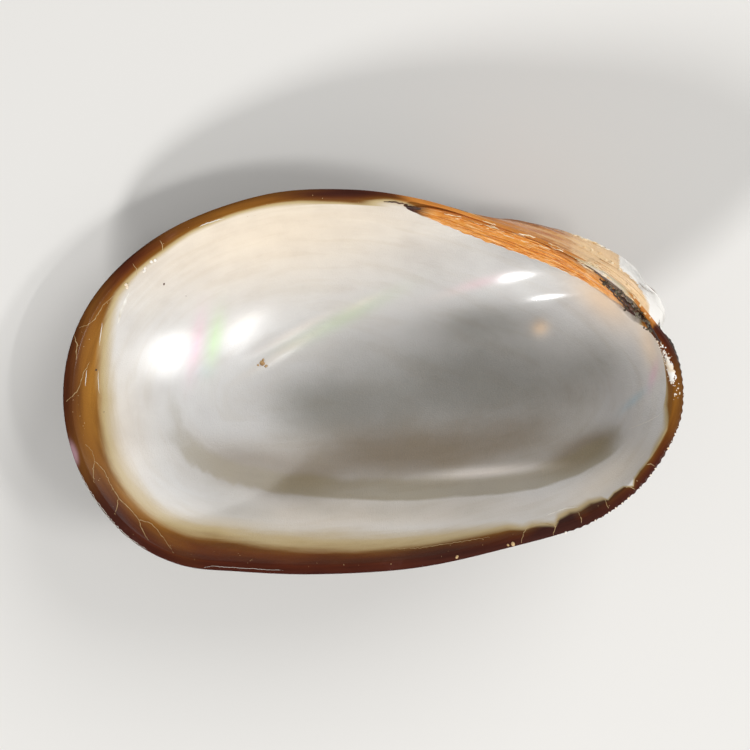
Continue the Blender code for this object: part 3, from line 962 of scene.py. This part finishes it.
# Torn skin and flakes at the hinge
# Where the valves were pulled apart the horny skin tore along the crevice. Pale flakes of shell and shreds of
# ligament stay on the crest and on the worn beak.
torn_tints = [(0.3, (28, 16, 12)), (0.5, (64, 34, 20)), (0.7, (112, 66, 34))]
torn_material = grainy_material("torn_skin", torn_tints, 0.45, 1400.0, 4.0, 0.6, (0.0001, 0.8))
torn_lines = [
    ([(600, 279), (608, 286), (616, 292), (624, 300)], 0.13, 0.6),
    ([(616, 292), (624, 300), (632, 308), (640, 315)], 0.16, 0.7),
    ([(632, 307), (639, 313), (645, 320), (650, 329)], 0.15, 0.7),
    ([(645, 319), (650, 327), (656, 336), (661, 344)], 0.12, 0.6),
    ([(606, 286), (618, 298), (630, 312)], 0.08, 0.9),
    ([(404, 205), (412, 207), (420, 210)], 0.12, 1.0),
    ([(384, 201), (396, 202), (408, 205)], 0.07, 0.8),
]
shapes = []
for i, (line, radius, wander) in enumerate(torn_lines):
    shapes.append(line_on_shell(line, radius, 0.3, wander, 30 + i, on_hinge))
make_piece("torn_skin", *together(shapes), "shell", torn_material)

fleck_tints = [(0.3, (224, 178, 118)), (0.5, (246, 220, 178)), (0.7, (255, 246, 228))]
fleck_material = grainy_material("pale_flake", fleck_tints, 0.5, 1800.0)
crest_x, crest_y = np.array(hinge_line).T
flecks, shred_count = [], 34
for i in range(shred_count):
    x = draw(440, 640)
    length = draw(5, 18)
    y = float(np.interp(x, crest_x, crest_y)) + draw(-4, 4.5)
    slope = float(np.interp(x + 4, crest_x, crest_y) - np.interp(x - 4, crest_x, crest_y)) / 8
    line = [(x, y), (x + length / 2, y + slope * length / 2), (x + length, y + slope * length)]
    flecks.append(line_on_shell(line, draw(0.03, 0.07), 0.3, 0.5, 60 + i, on_hinge))
raised_edge = [(571, 235), (577, 236.5), (583, 239), (588, 239.5), (594, 242), (600, 243), (606, 246.5)]
raised_edge += [(610, 250)]
flecks.append(line_on_shell(raised_edge, 0.10, 0.1, 1.3, 95))
flecks.append(line_on_shell(raised_edge[2:], 0.07, 0.0, 1.8, 96))
flake_places = [(600, 252), (592, 249), (584, 246), (612, 262), (619, 268), (627, 283), (634, 296)]
flake_places += [(640, 304), (631, 290), (606, 259), (645, 312), (650, 316)]
for i, (x, y) in enumerate(flake_places):
    point, normal = on_shell(x, y + 1.5)
    flecks.append(lump(point + normal * 0.02, draw(0.08, 0.17), 300 + i, 0.3))
make_piece("pale_flakes", *together(flecks), "shell", fleck_material)

# The worn tips of the teeth, and painted glints
# Small knobs of shell along the front edge, where the ribs of the outside end, rubbed by the other valve.
# Pale grains and two pale bands along the front lip, and knobs on the lip at the left, are painted glints.
tip_and_glint_tints = [(0.35, (244, 222, 190)), (0.6, (255, 252, 246))]
tip_and_glint_material = grainy_material("worn_tooth_tip_and_glint", tip_and_glint_tints, 0.22, 1500.0, 2.0)
tips_and_glints, sparkle_count = [], 170
# Painted glints: pale grains and two pale bands along the front lip.
sparkle_line = [(656, 340), (662, 348), (667, 360), (672, 375), (676, 388), (677, 400)]
for i in range(sparkle_count):
    share = chance.gauss(0.45, 0.2) % 1
    x, y = (np.interp(5 * share, range(6), line) + chance.gauss(0, 1.9) for line in zip(*sparkle_line))
    point, _ = on_crest(x, y)
    tips_and_glints.append(lump(point, draw(0.03, 0.1), 600 + i, 0.5))
tips_and_glints.append(line_on_shell([(662, 351), (667, 362), (671, 375), (674, 389)], 0.30, 0.72, 0.7, 97))
tips_and_glints.append(line_on_shell([(665, 357), (669, 366), (672, 376), (674, 383)], 0.34, 0.72, 1.0, 98))
# Painted glints on the lip at the left, as pale knobs.
glint_knob_places = [(126, 284.6), (145, 268), (144, 271), (151, 261.6), (155, 260), (127, 287)]
tips_and_glints += lumps_at([(x, y, 0.17) for x, y in glint_knob_places], 800)
for i in range(2, tooth_count):
    if chance.random() < 0.35:
        continue
    along_edge = np.array([teeth_start + tooth_pitch * (i + 0.5)])
    edge = margin_at(along_edge)[0] - inward_at(along_edge)[0] * (tooth_height * 0.2)
    tips_and_glints.append(lump(np.append(edge, 0.05), draw(0.05, 0.13), 400 + i, 0.8))
make_piece("tooth_tips_and_glints", *together(tips_and_glints), "shell", tip_and_glint_material)

# Crumbs and specks
# Grains of dry skin and sand, tan ones and dark ones. They stick where they fell, on the pearl and on the
# skin round it.
crumb_material = grainy_material("tan_crumb", [(0.3, (168, 126, 78)), (0.7, (222, 190, 140))], 0.6, 2500.0)
crumb_places = [(262, 363, 0.26), (266, 366, 0.15), (258, 365, 0.12), (263, 360, 0.14)]
crumb_places += [(513, 544, 0.2), (508, 545, 0.12), (457, 557, 0.16)]
crumbs, tiny_count = lumps_at(crumb_places, 100), 70
for i in range(tiny_count):
    x, y, _ = along_hinge(draw(25, 112), draw(0.4, 1.5), 0.0)
    point, _ = on_shell(middle_x + x / pixel, middle_y - y / pixel)
    crumbs.append(lump(point, draw(0.02, 0.045), 900 + i))
make_piece("crumbs", *together(crumbs), "shell", crumb_material)

speck_material = grainy_material("dark_speck", [(0.3, (52, 34, 24)), (0.7, (104, 76, 56))], 0.5, 2500.0)
specks = lumps_at([(164, 284, 0.11), (96, 370, 0.10), (104, 412, 0.05), (186, 296, 0.04)], 200)
make_piece("dark_specks", *together(specks), "shell", speck_material)

# The place where it lies
# A plain pale table and four soft lamps: two to the right that draw the gleams on the pearl, one in front of
# the low side, and a large one behind the beak.
floor_mesh = bpy.data.meshes.new("floor")
half = 3.0
corners = [(-half, -half, 0), (half, -half, 0), (half, half, 0), (-half, half, 0)]
floor_mesh.from_pydata(corners, [], [(0, 1, 2, 3)])
floor = bpy.data.objects.new("floor", floor_mesh)
bpy.context.scene.collection.objects.link(floor)
floor_material, tree, shader = blank_material("pale_table")
fill(tree, shader, {"Base Color": paint(228, 226, 222), "Roughness": 0.7})
floor_mesh.materials.append(floor_material)

world = bpy.data.worlds.new("studio")
world.use_nodes = True
background = world.node_tree.nodes["Background"]
fill(world.node_tree, background, {"Color": (1.0, 1.0, 1.0, 1.0), "Strength": 0.28})
bpy.context.scene.world = world


def lamp(name, toward, distance, wide, high, watts):
    """A soft lamp in a direction of the margin's frame, aimed at the middle of the valve."""
    toward = Vector(toward).normalized()
    place = set_down([np.array(toward) * distance])[0]
    light = bpy.data.lights.new(name, "AREA")
    light.shape = "ELLIPSE"
    light.size, light.size_y = wide, high
    light.energy = watts
    made = bpy.data.objects.new(name, light)
    made.location = place
    made.rotation_euler = (Vector(place) - Vector(shift)).to_track_quat("Z", "Y").to_euler()
    bpy.context.scene.collection.objects.link(made)


lamp("right_lamp", (0.715, -0.25, 0.655), 450, wide=0.11, high=0.04, watts=0.36)
lamp("upper_right_lamp", (0.545, -0.35, 0.763), 450, wide=0.10, high=0.018, watts=0.22)
lamp("front_lamp", (-0.34, -0.87, 0.35), 450, wide=0.06, high=0.10, watts=1.35)
lamp("beak_lamp", (0.58, 0.55, 0.6), 500, wide=0.4, high=0.4, watts=1.35)

camera_data = bpy.data.cameras.new("camera")
camera_data.lens = lens_mm
camera_data.sensor_width = sensor_mm
camera_data.clip_start = 0.01
camera = bpy.data.objects.new("camera", camera_data)
turn = Matrix(lean.tolist()).to_4x4()
camera.matrix_world = Matrix.Translation(Vector(set_down([eye])[0])) @ turn
bpy.context.scene.collection.objects.link(camera)
bpy.context.scene.camera = camera
bpy.context.scene.view_settings.view_transform = "Standard"
